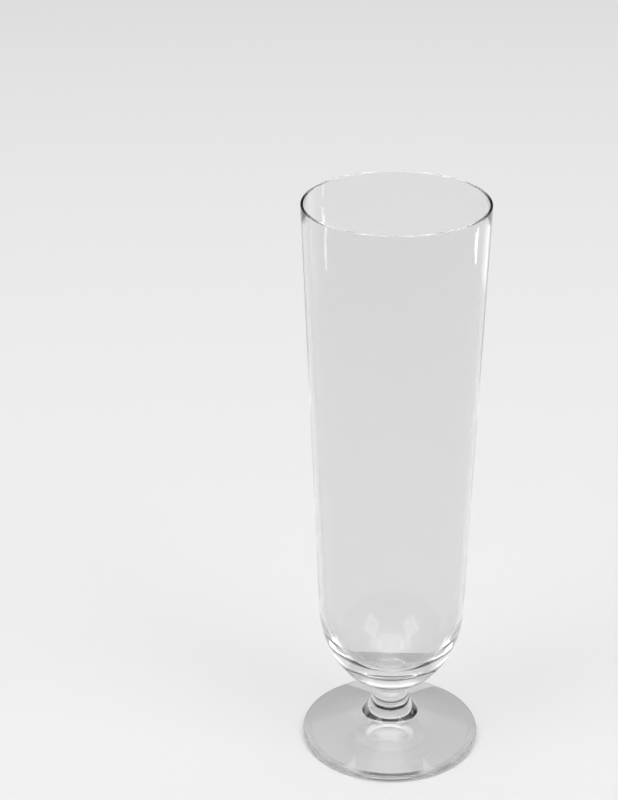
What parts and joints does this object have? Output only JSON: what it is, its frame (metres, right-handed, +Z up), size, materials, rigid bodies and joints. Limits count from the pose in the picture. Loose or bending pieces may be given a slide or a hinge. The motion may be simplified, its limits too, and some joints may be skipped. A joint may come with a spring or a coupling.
{
  "type": "pilsner glass",
  "caption": "Tall tapering drinking glass for pilsner: an open bowl with a thick rounded base, a short stem with a flared collar and a round foot.",
  "frame": {"origin": "centre of the flat ring on which the foot stands, in the plane of the table", "axes": "+Z up along the glass's axis of revolution, from the foot to the rim; +X and +Y are any two level directions"},
  "size_m": [0.069, 0.069, 0.222],
  "materials": {
    "bowl_glass": "clear colourless glass, fire polished, with a bright rim",
    "stem_glass": "clear colourless glass, fire polished",
    "foot_glass": "clear colourless glass, fire polished, faintly scuffed on its resting ring"
  },
  "bodies": {
    "root": {"bowl": "bowl_glass", "stem": "stem_glass", "foot": "foot_glass"}
  },
  "joints": []
}
